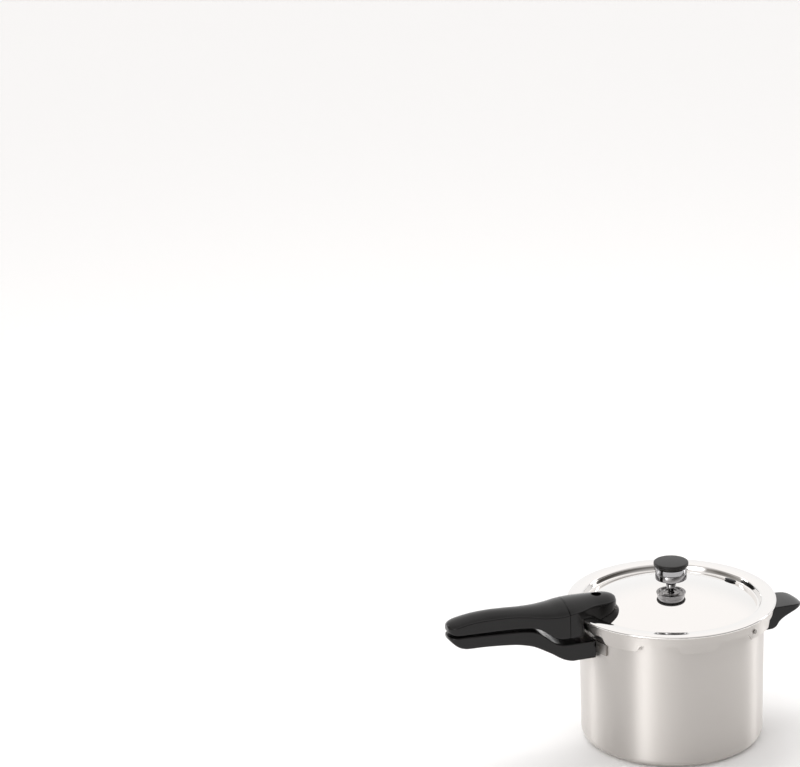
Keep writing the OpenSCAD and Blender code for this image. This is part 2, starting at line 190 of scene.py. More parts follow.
@dataclass(frozen=True)
class Finish:
    """What a surface is made of and how it was finished.

    Attributes:
        name: The material's name.
        colour: sRGB hex colour.
        metallic: 1 for bare metal.
        roughness: Roughness of the surface.
        grain: Its fine texture, if it shows.
        ior: Index of refraction, only for what isn't metal.
        round_brushed: How strongly the highlights stretch across a turned surface.
    """

    name: str
    colour: str
    metallic: float = 0.0
    roughness: float = 0.5
    grain: Grain | None = None
    ior: float = 1.5
    round_brushed: float = 0.0

    def material(self) -> bpy.types.Material:
        """Makes the material, once.

        Returns:
            The material of this finish.
        """
        if self.name in bpy.data.materials:
            return bpy.data.materials[self.name]
        mat = bpy.data.materials.new(self.name)
        mat.use_nodes = True
        tree = mat.node_tree
        shader = tree.nodes["Principled BSDF"]
        shader.inputs["Base Color"].default_value = linear(self.colour)
        shader.inputs["Metallic"].default_value = self.metallic
        shader.inputs["Roughness"].default_value = self.roughness
        if not self.metallic:
            shader.inputs["IOR"].default_value = self.ior
        if self.round_brushed:
            shader.inputs["Anisotropic"].default_value = self.round_brushed
            shader.inputs["Anisotropic Rotation"].default_value = 0.25
            around = add_node(tree, "ShaderNodeTangent", {"direction_type": "RADIAL", "axis": "Z"})
            tree.links.new(around.outputs["Tangent"], shader.inputs["Tangent"])
        if self.grain:
            self.add_grain(tree, shader, self.grain)
        return mat

    @staticmethod
    def add_grain(tree: bpy.types.NodeTree, shader: bpy.types.Node, grain: Grain) -> None:
        """Adds the fine texture.

        Args:
            tree: The material's node tree.
            shader: Its surface shader.
            grain: The texture.
        """
        coords = add_node(tree, "ShaderNodeTexCoord").outputs["Object"]
        scale = tuple(1 / (s * MM) for s in grain.size)
        placed = add_node(tree, "ShaderNodeMapping", None, {"Vector": coords, "Scale": scale})
        noise = add_node(
            tree,
            "ShaderNodeTexNoise",
            None,
            {"Vector": placed.outputs["Vector"], "Scale": 1.0, "Detail": 3.0},
        ).outputs["Fac"]
        bump = add_node(
            tree,
            "ShaderNodeBump",
            None,
            {"Height": noise, "Distance": grain.depth * MM, "Strength": 1.0},
        )
        tree.links.new(bump.outputs["Normal"], shader.inputs["Normal"])
        if grain.roughness:
            base = shader.inputs["Roughness"].default_value
            spread = add_node(
                tree,
                "ShaderNodeMapRange",
                None,
                {"Value": noise, "To Min": base - grain.roughness, "To Max": base + grain.roughness},
            )
            tree.links.new(spread.outputs["Result"], shader.inputs["Roughness"])


# Drawn aluminium, buffed to a mirror on the lid's dome, with the last faint buffing haze.
POLISHED = Finish("buffed_aluminium", "#edebe9", 1.0, 0.045, Grain((22, 22, 22), 0.004))
# Drawn aluminium, finished on a lathe with fine abrasive: soft vertical bands and hair-fine rings.
SATIN = Finish(
    "satin_turned_aluminium", "#d6d2ce", 1.0, 0.42, Grain((60, 60, 0.6), 0.0012, 0.03), round_brushed=0.9
)
# Aluminium inside the pot and under the lid: drawn, then only washed.
DRAWN = Finish("drawn_aluminium", "#d9d6d2", 1.0, 0.36, Grain((30, 30, 1.2), 0.004, 0.04))
# Zinc-plated steel straps, rivets and screws.
PLATED = Finish("zinc_plated_steel", "#94918d", 1.0, 0.3, Grain((3, 3, 3), 0.003, 0.05))
# Chromed steel weight and stem: a hard mirror.
CHROME = Finish("chromed_steel", "#a9a9ab", 1.0, 0.05)
# Brass seat in the weight's bore.
BRASS = Finish("turned_brass", "#c9a25a", 1.0, 0.25)
# Phenolic moulding resin, pressed in a polished mould: deep black with a broad soft gloss.
PHENOLIC = Finish("moulded_phenolic", "#0b0a0a", 0.0, 0.2, Grain((3, 3, 3), 0.0003, 0.02), 1.4)
# The same resin on the regulator's cap, from a finely blasted mould.
CAP_RESIN = Finish("blasted_phenolic", "#161514", 0.0, 0.38, Grain((0.8, 0.8, 0.8), 0.001), 1.4)
# Moulded nitrile rubber: matt, with a little bloom.
RUBBER = Finish("nitrile_rubber", "#1b1b1c", 0.0, 0.55, Grain((1.2, 1.2, 1.2), 0.01))


def spin(
    bm: bmesh.types.BMesh,
    profile: Sequence[Point],
    steps: int,
    start: float = 0.0,
    sweep: float = 360.0,
    closed: bool = True,
) -> list[bmesh.types.BMVert]:
    """Spins a profile about the Z axis into the mesh.

    Args:
        bm: The mesh to add to.
        profile: (radius, height) points, in millimetres.
        steps: Number of steps around.
        start: First angle, in degrees.
        sweep: How far round it goes, in degrees.
        closed: Whether the last point joins the first.

    Returns:
        The new vertices.
    """
    full = abs(sweep - 360) < 1e-6
    parts = SECTORS if full else 1
    before = set(bm.verts)
    turn = Matrix.Rotation(math.radians(start), 3, "Z")
    verts = [bm.verts.new(turn @ Vector((r * MM, 0, z * MM))) for r, z in profile]
    pairs = list(zip(verts, verts[1:]))
    if closed:
        pairs.append((verts[-1], verts[0]))
    edges = [bm.edges.new(p) for p in pairs]
    bmesh.ops.spin(
        bm,
        geom=verts + edges,
        cent=(0, 0, 0),
        axis=(0, 0, 1),
        dvec=(0, 0, 0),
        angle=math.radians(sweep / parts),
        steps=steps // parts,
        use_merge=False,
    )
    sector = [v for v in bm.verts if v not in before]
    if not full:
        rim = {e for v in sector for e in v.link_edges if e.is_boundary}
        bmesh.ops.holes_fill(bm, edges=list(rim), sides=0)
        return sector
    faces = list({f for v in sector for f in v.link_faces})
    for k in range(1, parts):
        copy = bmesh.ops.duplicate(bm, geom=faces)["geom"]
        again = [g for g in copy if isinstance(g, bmesh.types.BMVert)]
        next_turn = Matrix.Rotation(2 * math.pi * k / parts, 3, "Z")
        bmesh.ops.rotate(bm, cent=(0, 0, 0), matrix=next_turn, verts=again)
    return [v for v in bm.verts if v not in before]


@dataclass
class Piece:
    """A finished mesh of the cooker.

    Attributes:
        name: The object's name.
        body: The body it moves with.
        slot: The record's material slot; not used.
        stands_for: The CAD nodes it replaces.
        crease: Edges turning more than this stay sharp, in degrees.
    """

    name: str
    body: Body
    slot: str
    stands_for: tuple[str, ...]
    crease: float = 32.0

    def make(
        self,
        bm: bmesh.types.BMesh,
        finishes: Sequence[Finish],
        choose: Callable[[Vector, Vector], int] | None = None,
    ) -> bpy.types.Object:
        """Closes the mesh and makes the object.

        Args:
            bm: The mesh, which is used up.
            finishes: Its materials.
            choose: Gives the material number from a face's centre and normal.

        Returns:
            The object, riding on its body.
        """
        bmesh.ops.remove_doubles(bm, verts=bm.verts, dist=2e-6)
        bmesh.ops.dissolve_degenerate(bm, dist=1e-6, edges=bm.edges)
        bmesh.ops.recalc_face_normals(bm, faces=bm.faces)
        bm.normal_update()
        limit = math.radians(self.crease)
        for edge in bm.edges:
            edge.smooth = len(edge.link_faces) == 2 and edge.calc_face_angle(0) < limit
        for face in bm.faces:
            face.smooth = True
            if choose:
                face.material_index = choose(face.calc_center_median(), face.normal)
        mesh = bpy.data.meshes.new(self.name)
        bm.to_mesh(mesh)
        bm.free()
        for finish in finishes:
            mesh.materials.append(finish.material())
        obj = bpy.data.objects.new(self.name, mesh)
        bpy.context.scene.collection.objects.link(obj)
        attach(obj, self.body.value)
        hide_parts(*self.stands_for)
        LOG.info("%s: %d faces", self.name, len(mesh.polygons))
        return obj


def cut(obj: bpy.types.Object, cutter: bmesh.types.BMesh, crease: float) -> None:
    """Cuts a closed shape out of a piece.

    Args:
        obj: The piece.
        cutter: The closed shape, which is used up.
        crease: Edges turning more than this stay sharp, in degrees.
    """
    mesh = bpy.data.meshes.new("cutter")
    cutter.to_mesh(mesh)
    cutter.free()
    tool = bpy.data.objects.new("cutter", mesh)
    bpy.context.scene.collection.objects.link(tool)
    mod = obj.modifiers.new("cut", "BOOLEAN")
    mod.operation, mod.solver, mod.object = "DIFFERENCE", "EXACT", tool
    shown = obj.evaluated_get(bpy.context.evaluated_depsgraph_get())
    fresh = bpy.data.meshes.new_from_object(shown)
    obj.modifiers.clear()
    obj.data = fresh
    bpy.data.objects.remove(tool)
    bm = bmesh.new()
    bm.from_mesh(fresh)
    for edge in bm.edges:
        edge.smooth = len(edge.link_faces) == 2 and edge.calc_face_angle(0) < math.radians(crease)
    bm.to_mesh(fresh)
    bm.free()


@dataclass
class Pot:
    """The drawn pot with its rim flange and eight locking lugs, in millimetres."""

    radius: float = 110.0
    rim: float = 166.5
    wall: float = 2.6
    base: float = 3.6
    corner: float = 12.0
    flange: float = 113.6
    lug: float = 117.6
    lug_count: int = 8
    lug_phase: float = 37.5
    steps: int = 360

    def build(self) -> None:
        """Builds and dresses the pot."""
        bore = self.radius - self.wall
        knee = (self.radius - 0.8 - self.corner, self.corner)
        under = self.rim - 3
        profile = (
            [(0.0, 0.0), (40.0, 0.0), (80.0, 0.0)]
            + arc(knee, self.corner, 270, 358, 20)
            + [(self.radius - 0.5, 60.0), (self.radius - 0.2, 110.0), (self.radius, self.rim - 12)]
            + [(self.radius, self.rim - 5)]
            + arc((self.radius + 2, self.rim - 5), 2, 180, 90, 5)
            + [(self.flange - 0.3, under), (self.flange, under + 0.3)]
            + [(self.flange, self.rim - 0.4), (self.flange - 0.4, self.rim)]
            + [(bore + 0.5, self.rim), (bore, self.rim - 0.5), (bore, 100.0)]
            + arc(knee, self.corner - self.wall, 358, 285, 14)
            + [(self.radius - 16, self.base), (50.0, self.base), (0.0, self.base)]
        )
        bm = bmesh.new()
        box = [(self.flange - 0.5, under), (self.lug - 0.3, under), (self.lug, under + 0.3)]
        box += [(self.lug, self.rim - 0.3), (self.lug - 0.3, self.rim), (self.flange - 0.5, self.rim)]
        for k in range(self.lug_count):
            spin(bm, box, 20, self.lug_phase + k * 45 - 10, 20)
        spin(bm, profile, self.steps, closed=False)

        def inside(centre: Vector, _normal: Vector) -> int:
            """Picks the washed finish inside the pot."""
            hollow = math.hypot(centre.x, centre.y) < (bore + 0.2) * MM
            return int(hollow and centre.z > (self.base - 0.1) * MM)

        piece = Piece("pot_shell", Body.POT, "satin_aluminium", ("pot_body",))
        piece.make(bm, (SATIN, DRAWN), inside)


@dataclass
class Lid:
    """The domed lid with its rolled edge and notched skirt, in millimetres."""

    top: float = 189.5
    sphere: float = 241.88
    foot: float = 101.8
    trough: float = 2.0
    knee: float = 3.5
    thick: float = 2.2
    crown_top: float = 174.7
    crown_curve: float = 60.0
    crown_mid: float = 116.5
    edge: float = 124.5
    edge_round: float = 1.9
    skirt_in: float = 118.4
    skirt_out: float = 120.6
    skirt_low: float = 151.5
    skirt_high: float = 159.5
    skirt_root: float = 163.0
    deep_half: float = 9.2
    slope_half: float = 12.8
    steps: int = 720
    # Hole for the lock pin: radius, distance from the centre, mid height and depth of the drill.
    pin_hole_r: float = 4.6
    pin_hole_out: float = 96.0
    pin_hole_mid: float = 170.0
    pin_hole_deep: float = 40.0
    vent: float = 4.0

    def dome(self, r: float, drop: float = 0.0) -> float:
        """The height of the dome at radius r, lowered square to itself by drop."""
        return self.top - self.sphere + math.sqrt((self.sphere - drop) ** 2 - r * r)

    def touch(self, r: float, fillet: float) -> Point:
        """The centre at radius r of a fillet inside the crown ring."""
        reach = self.crown_curve - fillet
        rise = math.sqrt(reach**2 - (r - self.crown_mid) ** 2)
        return (r, self.crown_top - self.crown_curve + rise)

    def face(self, drop: float) -> list[Point]:
        """The upper face from the vent hole to the crown ring, lowered by drop."""
        grow = 1 + self.trough / self.sphere
        lift = self.trough * math.sqrt(1 - (self.foot / self.sphere) ** 2)
        low = (self.foot * grow, self.dome(self.foot) + lift)
        start = 270 - math.degrees(math.asin(self.foot / self.sphere))
        knee = self.touch(109.6, self.knee)
        end = 90 + math.degrees(math.asin((self.crown_mid - knee[0]) / (self.crown_curve - self.knee)))
        rows = 30
        radii = [self.vent + (self.foot - self.vent - 1) * i / rows for i in range(rows + 1)]
        return (
            [(r, self.dome(r, drop)) for r in radii]
            + arc(low, self.trough + drop, start, 345, 10)
            + arc(knee, self.knee - drop, 175, end, 8)
        )

    def hem(self, angle: float) -> float:
        """The height of the skirt's edge at a polar angle, in degrees."""
        off = abs((angle - 37.5 + 22.5) % 45 - 22.5)
        rise = smooth(off, self.deep_half, self.slope_half)
        return self.skirt_low + (self.skirt_high - self.skirt_low) * rise

    def build(self) -> None:
        """Builds and dresses the lid."""
        rim = self.touch(self.edge - self.edge_round, self.edge_round)
        knee = self.touch(109.6, self.knee)
        first = math.degrees(math.asin((self.crown_mid - knee[0]) / (self.crown_curve - self.knee)))
        last = math.degrees(math.asin((rim[0] - self.crown_mid) / (self.crown_curve - self.edge_round)))
        crown = (self.crown_mid, self.crown_top - self.crown_curve)
        fine = [157.2, 155.0, 153.2, 152.2]
        profile = (
            self.face(0)
            + arc(crown, self.crown_curve, 90 + first - 1, 90 - last + 1, 8)
            + arc(rim, self.edge_round, 90 - last, -95, 12)
            + [(self.skirt_out + 1.5, 170.45), (self.skirt_out + 1.0, 170.0)]
            + [(self.skirt_out + 0.8, 168.5)]
            + [(self.skirt_out + 0.5, self.skirt_root + 1.5), (self.skirt_out + 0.35, self.skirt_root)]
            + [(self.skirt_out + 0.2, z) for z in fine]
            + arc((self.skirt_out - 0.7, self.skirt_low + 0.7), 0.7, 0, -90, 3)
            + arc((self.skirt_in + 0.7, self.skirt_low + 0.7), 0.7, 270, 180, 3)
            + [(self.skirt_in, z) for z in reversed(fine)]
            + [(self.skirt_in, self.skirt_root)]
            + arc((self.skirt_in - 3, self.crown_top - 5.2), 3, 0, 90, 5)
            + self.face(self.thick)[::-1]
        )
        bm = bmesh.new()
        lug = [(114.2, 159.15), (self.skirt_in + 0.4, 159.15), (self.skirt_in + 0.4, 163.15)]
        for k in range(8):
            spin(bm, [*lug, (114.2, 163.15)], 20, 37.5 + 45 * k - 10, 20)
        shell = spin(bm, profile, self.steps)
        root, depth = self.skirt_root, self.skirt_root - self.skirt_low
        for vert in shell:
            height = vert.co.z / MM
            if height < root:
                hem = self.hem(math.degrees(math.atan2(vert.co.y, vert.co.x)))
                vert.co.z = (root - (root - height) * (root - hem) / depth) * MM

        def dress(centre: Vector, normal: Vector) -> int:
            """Picks mirror, satin or washed aluminium."""
            r = math.hypot(centre.x, centre.y) / MM
            outward = normal.x * centre.x + normal.y * centre.y > 0
            if r > self.skirt_out - 1.2 and outward and centre.z < 171.0 * MM:
                return 1
            on_top = centre.z / MM > self.dome(min(r, self.foot)) - 1.0 and normal.z > -0.2
            return 0 if on_top and centre.z > 166.0 * MM else 2

        piece = Piece("lid_shell_metal", Body.LID, "polished_aluminium", ("lid_shell",))
        obj = piece.make(bm, (POLISHED, SATIN, DRAWN), dress)
        drill = bmesh.new()
        bmesh.ops.create_cone(
            drill,
            cap_ends=True,
            segments=48,
            radius1=self.pin_hole_r * MM,
            radius2=self.pin_hole_r * MM,
            depth=self.pin_hole_deep * MM,
            matrix=Matrix.Translation((-self.pin_hole_out * MM, 0, self.pin_hole_mid * MM)),
        )
        cut(obj, drill, piece.crease)


@dataclass
class Seals:
    """The sealing ring under the lid and the over-pressure plug in the dome, in millimetres."""

    ring_in: float = 109.2
    ring_out: float = 116.4
    ring_low: float = 166.85
    ring_high: float = 171.75
    plug_radius: float = 92.0
    plug_turn: float = 16.0
    sphere: float = 241.88
    top: float = 189.5

    def build(self) -> None:
        """Builds and dresses both rubbers."""
        bm = bmesh.new()
        ease = 0.5
        corners = [
            arc((self.ring_in + ease, self.ring_low + ease), ease, 180, 270, 3),
            arc((self.ring_out - ease, self.ring_low + ease), ease, 270, 360, 3),
            arc((self.ring_out - ease, self.ring_high - ease), ease, 0, 90, 3),
            arc((self.ring_in + ease, self.ring_high - ease), ease, 90, 180, 3),
        ]
        spin(bm, [p for c in corners for p in c], 240)
        Piece("sealing_ring_rubber", Body.SEAL, "black_rubber", ("sealing_ring",)).make(bm, (RUBBER,))

        bm = bmesh.new()
        under = -2.45
        profile = (
            [(0.0, under - 3), (9.2, under - 3), (9.5, under - 2.7), (9.5, under - 0.2), (5.98, under)]
            + [(5.98, 0.0), (5.98, 0.5), (6.7, 0.5), (7.0, 0.8)]
            + arc((5.9, 1.35), 1.1, 0, 75, 5)
            + [(4.0, 2.58), (2.0, 2.62), (0.0, 2.62)]
        )
        spin(bm, profile, 96, closed=False)
        height = self.top - self.sphere + math.sqrt(self.sphere**2 - self.plug_radius**2)
        lean = Matrix.Rotation(math.asin(self.plug_radius / self.sphere), 4, "Y")
        out = Matrix.Translation((self.plug_radius * MM, 0, height * MM))
        place = Matrix.Rotation(math.radians(self.plug_turn), 4, "Z") @ out @ lean
        bmesh.ops.transform(bm, matrix=place, verts=bm.verts)
        Piece("pressure_plug", Body.LID, "black_rubber", ("overpressure_plug",)).make(bm, (RUBBER,))


@dataclass
class Regulator:
    """The weight on the vent with its resin cap, in millimetres."""

    foot: float = 198.5
    radius: float = 19.0
    cap: float = 212.7
    cap_radius: float = 20.7
    bore_roof: float = 207.1
    steps: int = 256

    def build(self) -> None:
        """Builds and dresses the weight and its cap."""
        z, r, cap = self.foot, self.radius, self.cap
        profile = (
            [(4.6, z + 3), (5.2, z + 2.6), (9.2, z + 2.6)]
            + [(9.5, z + 2.3), (9.5, z + 1.0), (9.8, z + 0.8)]
            + [(11.2, z + 0.8), (11.5, z + 1.1), (11.5, z + 2.3), (11.8, z + 2.6), (15.2, z + 2.6)]
            + [(15.5, z + 2.3), (15.5, z + 0.3), (15.8, z)]
            + [(r - 0.6, z), (r - 0.2, z + 0.15), (r, z + 0.6), (r - 0.3, z + 7.2)]
            + [(r - 0.42, z + 7.4), (r - 0.8, z + 7.6), (r - 0.8, z + 8.0), (r - 0.45, z + 8.2)]
            + [(r - 0.35, z + 8.4), (r - 0.65, cap - 0.3), (r - 0.95, cap)]
            + [(6.0, cap), (6.0, cap + 2.7), (5.7, cap + 3), (0.0, cap + 3)]
        )
        bore = [(0.0, self.bore_roof + 3), (4.6, self.bore_roof + 3)]
        bm = bmesh.new()
        spin(bm, [*bore, *profile], self.steps, closed=False)
        weight = Piece(
            "regulator_weight_chrome", Body.REGULATOR, "chrome_weight", ("regulator_weight",), 26
        )
        weight.make(bm, (CHROME,))

        c = self.cap_radius
        profile = (
            [(0.0, cap + 3.02), (6.02, cap + 3.02), (6.02, cap + 0.02), (r - 1.4, cap + 0.02)]
            + [(r - 1.1, cap + 0.3), (r - 1, cap + 1.8)]
            + arc((c - 1.2, cap + 3.7), 1.2, -100, 0, 6)
            + arc((c - 1.5, cap + 5.6), 1.5, 0, 72, 7)
            + [(c - 2.2, cap + 7.12), (c - 3.5, cap + 7.2), (c - 9, cap + 7.55), (0.0, cap + 7.75)]
        )
        bm = bmesh.new()
        spin(bm, profile, self.steps, closed=False)
        crown = Piece("regulator_cap_resin", Body.REGULATOR, "black_phenolic", ("regulator_cap",))
        crown.make(bm, (CAP_RESIN,))


@dataclass(frozen=True)
class Section:
    """One cross-section of a handle, in millimetres.

    Attributes:
        reach: Distance from the cooker's axis.
        half: Half width.
        floor: Height of the underside, which may change with the distance from the axis.
        side: Height where the side meets the top.
        ridge: Height of the middle of the top.
        bend: 1 where the section is an arc about the axis, 0 where it is flat.
    """

    reach: float
    half: float
    floor: Callable[[float], float]
    side: float
    ridge: float
    bend: float = 0.0

    def outline(self, top_round: float, foot_round: float) -> list[tuple[float, float, float]]:
        """Points around the section.

        Args:
            top_round: Radius of the edge between side and top.
            foot_round: Radius of the bottom edges.

        Returns:
            (outward, across, up) points, from the middle of the underside and round.
        """
        w = self.half
        foot = min(foot_round, w * 0.45)
        top = min(top_round, w * 0.45)
        base = self.floor(self.reach)
        flat = [(w - foot) * i / 5 for i in range(6)]
        half: list[tuple[float, float, bool]] = [(y, 0.0, True) for y in flat[:-1]]
        half += [(w - foot + p[0], foot + p[1], True) for p in arc((0, 0), foot, 270, 360, 4)]
        wall = [base + foot + (self.side - top - base - foot) * k / 5 for k in (1, 2, 3, 4)]
        half += [(w, z, False) for z in wall]
        half += [(w - top + p[0], self.side - top + p[1], False) for p in arc((0, 0), top, 0, 74, 5)]
        rise = max(self.ridge - self.side, 0.05)
        span = w - top
        curve = (span * span + rise * rise) / (2 * rise)
        for k in range(1, 11):
            y = span * math.sin(math.radians(90 * (1 - k / 10))) if k < 10 else 0.0
            y = min(y, span - 0.04 * w)
            half.append((y, self.ridge - curve + math.sqrt(curve * curve - y * y), False))
        points = []
        for y, z, on_floor in half:
            points.append((y, z, on_floor))
        points += [(-y, z, f) for y, z, f in reversed(half) if y > 1e-9]
        result = []
        for y, z, on_floor in points:
            inward = self.reach - math.sqrt(max(self.reach**2 - y * y, 1.0))
            out = self.reach - self.bend * inward
            height = self.floor(math.hypot(out, y)) + z if on_floor else z
            result.append((out, y, height))
        return result


def loft(
    sections: Sequence[Section], top_round: float, foot_round: float, side: int
) -> bmesh.types.BMesh:
    """Extrudes a ring of edges from section to section.

    Args:
        sections: The sections in order.
        top_round: Radius of the upper edges, in millimetres.
        foot_round: Radius of the lower edges, in millimetres.
        side: -1 for a handle towards -X, 1 towards +X.

    Returns:
        The closed mesh.
    """
    bm = bmesh.new()
    first = sections[0].outline(top_round, foot_round)
    ring = [bm.verts.new((side * x * MM, y * MM, z * MM)) for x, y, z in first]
    edges = [bm.edges.new((a, b)) for a, b in zip(ring, ring[1:] + ring[:1])]
    bmesh.ops.contextual_create(bm, geom=edges)
    for section in sections[1:]:
        made = bmesh.ops.extrude_edge_only(bm, edges=edges)["geom"]
        follow = {v for v in made if isinstance(v, bmesh.types.BMVert)}
        step = []
        for old in ring:
            step.append(next(e.other_vert(old) for e in old.link_edges if e.other_vert(old) in follow))
        for vert, (x, y, z) in zip(step, section.outline(top_round, foot_round)):
            vert.co = (side * x * MM, y * MM, z * MM)
        ring = step
        edges = [e for e in made if isinstance(e, bmesh.types.BMEdge) and follow.issuperset(e.verts)]
    bmesh.ops.contextual_create(bm, geom=edges)
    return bm


@dataclass
class LongHandle:
    """The long handle: the cover's half in two mouldings, and the body's half below, in millimetres."""

    nose: float = 72.0
    nose_round: float = 19.0
    seam: float = 139.0
    seam_gap: float = 0.2
    lid_edge: float = 124.6
    tip: float = 283.0
    tip_round: float = 11.5
    window: float = 96.0
    window_round: float = 6.1
    ridge: Curve = Curve(
        ((72, 186.6), (74, 189.0), (78, 191.2), (86, 192.9), (100, 193.5), (125, 193.5), (141, 193.1))
        + ((157, 191.1), (172, 190.5), (189, 191.0), (210, 192.5), (231, 193.4), (248, 192.7))
        + ((260, 191.2), (268, 189.8), (275, 188.0), (280, 186.0), (283, 183.4))
    )
    side: Curve = Curve(
        ((72, 185.2), (84, 187.2), (108, 187.3), (124, 185.6), (136, 184.0), (141, 183.0), (153, 182.0))
        + ((165, 182.0), (187, 184.5), (214, 187.0), (243, 187.5), (260, 186.2), (272, 184.0))
        + ((279, 182.2), (283, 180.6))
    )
    width: Curve = Curve(
        ((92, 19.0), (100, 19.6), (112, 22.2), (124, 26.0), (134, 27.8), (143, 28.0), (155, 26.2))
        + ((170, 22.4), (187, 18.0), (205, 15.8), (225, 15.5), (268, 15.5))
    )
    floor: Curve = Curve(
        ((124, 153.5), (150, 153.5), (158, 155.4), (168, 162.6), (176, 167.6), (184, 169.6))
        + ((200, 170.5), (242, 172.0), (266, 172.6), (276, 173.2), (283, 176.0))
    )
    body_top: Curve = Curve(
        ((110, 147.0), (146, 147.0), (155, 148.8), (168, 158.0), (177, 164.0), (186, 166.1))
        + ((202, 167.2), (248, 169.6), (270, 170.6), (283, 170.6))
    )
    body_floor: Curve = Curve(
        ((110, 124.5), (138, 124.5), (148, 127.0), (165, 137.0), (185, 146.6), (209, 151.0))
        + ((245, 154.0), (262, 154.6), (270, 156.6), (277, 161.0), (283, 167.0))
    )
    body_width: Curve = Curve(
        ((110, 29.0), (138, 29.0), (147, 28.4), (158, 25.6))
        + ((173, 21.4), (188, 17.6), (205, 15.6), (225, 15.5))
    )

    def tip_stations(self) -> list[Point]:
        """(distance, half width) pairs around the rounded tip."""
        mid = self.tip - self.tip_round
        flat = self.width.at(self.tip) - self.tip_round
        turns = [math.radians(a) for a in (8, 18, 28, 38, 48, 57, 65, 72, 78, 83, 87)]
        return [(mid + self.tip_round * math.sin(a), flat + self.tip_round * math.cos(a)) for a in turns]

    def cover_section(self, reach: float, half: float, bend: float, lid: Lid | None) -> Section:
        """One section of the cover's handle.

        Args:
            reach: Distance from the axis.
            half: Half width.
            bend: How far the section follows the lid's roundness.
            lid: The lid, where the underside sits on it.

        Returns:
            The section.
        """
        crown = lid.crown_top + 0.12 if lid else 0.0

        def on_lid(r: float) -> float:
            """The underside's height on the lid at radius r."""
            if r > 112:
                return crown
            low = lid.dome(min(r, lid.foot)) + 0.12
            return low + (crown - low) * smooth(r, 103.5, 111)

        floor = on_lid if lid else self.floor.at
        return Section(reach, half, floor, self.side.at(reach), self.ridge.at(reach), bend)

    def build_head(self, lid: Lid) -> None:
        """Builds the moulding that sits on the lid.

        Args:
            lid: The lid that it sits on.
        """
        rows = []
        for angle in (4, 8, 13, 19, 26, 34, 42, 50, 58, 66, 74, 82, 90):
            a = math.radians(angle)
            x = self.nose + self.nose_round * (1 - math.cos(a))
            w = self.nose_round * math.sin(a)
            rows.append(self.cover_section(math.hypot(x, w), w, 1, lid))
        reach = rows[-1].reach + 1.5
        while reach < self.lid_edge - 1:
            rows.append(self.cover_section(reach, self.width.at(reach), 1, lid))
            reach += 1.6
        rows.append(self.cover_section(self.lid_edge, self.width.at(self.lid_edge), 1, lid))
        rows.append(self.cover_section(self.lid_edge + 0.02, self.width.at(self.lid_edge), 1, None))
        for k in range(1, 9):
            reach = self.lid_edge + (self.seam - self.seam_gap - self.lid_edge) * k / 8
            rows.append(self.cover_section(reach, self.width.at(reach), 1 - smooth(k, 0, 8), None))
        end = rows[-1]
        rows[-1] = Section(end.reach - 0.3, end.half, end.floor, end.side, end.ridge)
        rows.append(Section(end.reach, end.half - 0.3, end.floor, end.side - 0.3, end.ridge - 0.3))
        bm = loft(rows, 1.1, 0.8, -1)
        piece = Piece("cover_handle_head_resin", Body.LID, "black_phenolic", ("cover_handle_head",), 38)
        obj = piece.make(bm, (PHENOLIC,))
        drill = bmesh.new()
        bmesh.ops.create_cone(
            drill,
            cap_ends=True,
            segments=64,
            radius1=self.window_round * MM,
            radius2=self.window_round * MM,
            depth=50 * MM,
            matrix=Matrix.Translation((-self.window * MM, 0, 190 * MM)),
        )
        cut(obj, drill, piece.crease)

    def build_grip(self) -> None:
        """Builds the moulding that is held."""
        start = self.seam + self.seam_gap
        head = self.cover_section(start, self.width.at(start), 0, None)
        rows = [Section(start, head.half - 0.3, head.floor, head.side - 0.3, head.ridge - 0.3)]
        reach = start + 0.3
        while reach < self.tip - self.tip_round:
            rows.append(self.cover_section(reach, self.width.at(reach), 0, None))
            reach += 1.8
        rows += [self.cover_section(x, w, 0, None) for x, w in self.tip_stations()]
        piece = Piece("cover_handle_grip_resin", Body.LID, "black_phenolic", ("cover_handle_grip",), 38)
        piece.make(loft(rows, 1.2, 1.6, -1), (PHENOLIC,))

    def build_body_half(self, clear: float) -> None:
        """Builds the half on the pot.

        Args:
            clear: Distance from the axis where it starts.
        """
        rows = []
        reach = clear
        while reach < self.tip - self.tip_round:
            bend = 1 - smooth(reach, clear, 135)
            side = self.body_top.at(reach)
            rows.append(
                Section(reach, self.body_width.at(reach), self.body_floor.at, side - 0.25, side, bend)
            )
            reach += 2.0
        for x, w in self.tip_stations():
            side = self.body_top.at(x)
            rows.append(Section(x, w, self.body_floor.at, side - 0.25, side))
        piece = Piece("body_handle_resin", Body.POT, "black_phenolic", ("body_handle",), 38)
        piece.make(loft(rows, 1.4, 2.6, -1), (PHENOLIC,))

    def build(self, lid: Lid) -> None:
        """Builds the three mouldings.

        Args:
            lid: The lid that the head sits on.
        """
        self.build_head(lid)
        self.build_grip()
        self.build_body_half(112.2)


